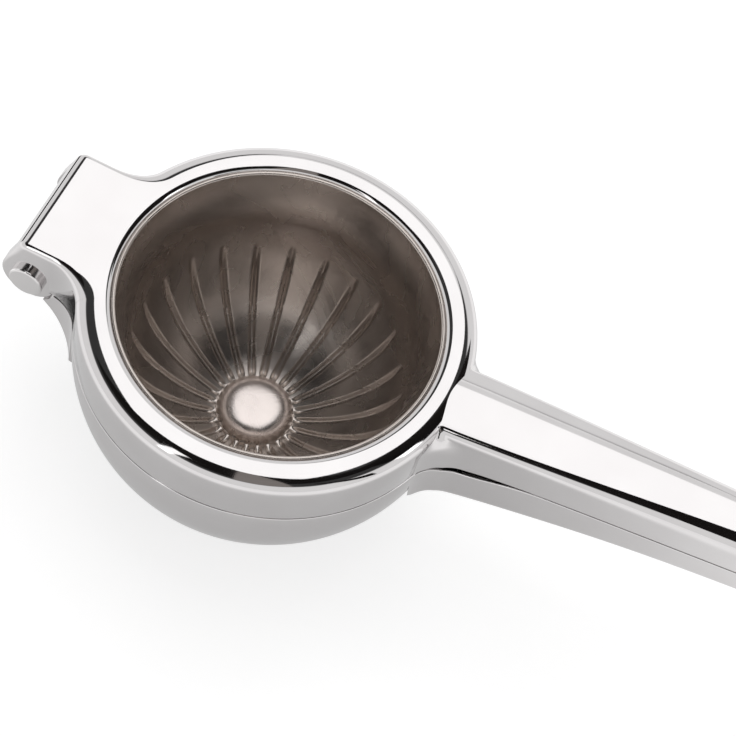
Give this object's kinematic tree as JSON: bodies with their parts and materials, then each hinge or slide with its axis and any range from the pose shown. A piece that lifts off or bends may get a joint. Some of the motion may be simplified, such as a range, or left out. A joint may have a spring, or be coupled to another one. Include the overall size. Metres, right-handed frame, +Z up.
{
  "type": "hinged lemon squeezer",
  "caption": "Hand-held citrus press: a ribbed pressing bowl in a ring-shaped lever closes into a straining cup on a second lever, joined by a hinge pin opposite the handles.",
  "frame": {"origin": "the middle of the flat ring under the cup that the closed squeezer stands on, on the cup's axis", "axes": "+Z up along the cup's axis, +X from the cup along the handles, -X towards the hinge pin, +Y across the handles, parallel to the pin"},
  "size_m": [0.2125, 0.08, 0.0626],
  "materials": {
    "polished_steel": "mirror-polished stainless steel",
    "satin_steel": "satin pressed stainless steel",
    "brushed_plate": "fine brushed stainless steel",
    "turned_steel": "turned stainless steel",
    "bronze": "plain bearing bronze"
  },
  "bodies": {
    "cup_lever": {"cup_frame": "polished_steel", "strainer_bowl": "satin_steel", "cup_handle_plate": "brushed_plate", "hinge_lug": "brushed_plate", "lug_bush": "bronze"},
    "press_lever": {"press_frame": "polished_steel", "press_bowl": "satin_steel", "press_handle_plate": "brushed_plate", "hinge_pin": "turned_steel", "pin_cap": "turned_steel", "washer_near": "turned_steel", "washer_far": "turned_steel"}
  },
  "joints": [
    {"name": "press_hinge", "type": "hinge", "parent": "cup_lever", "child": "press_lever", "pos_m": [-0.0485, 0, 0.04066], "axis": [0, -1, 0], "range_deg": [0, 165]}
  ]
}
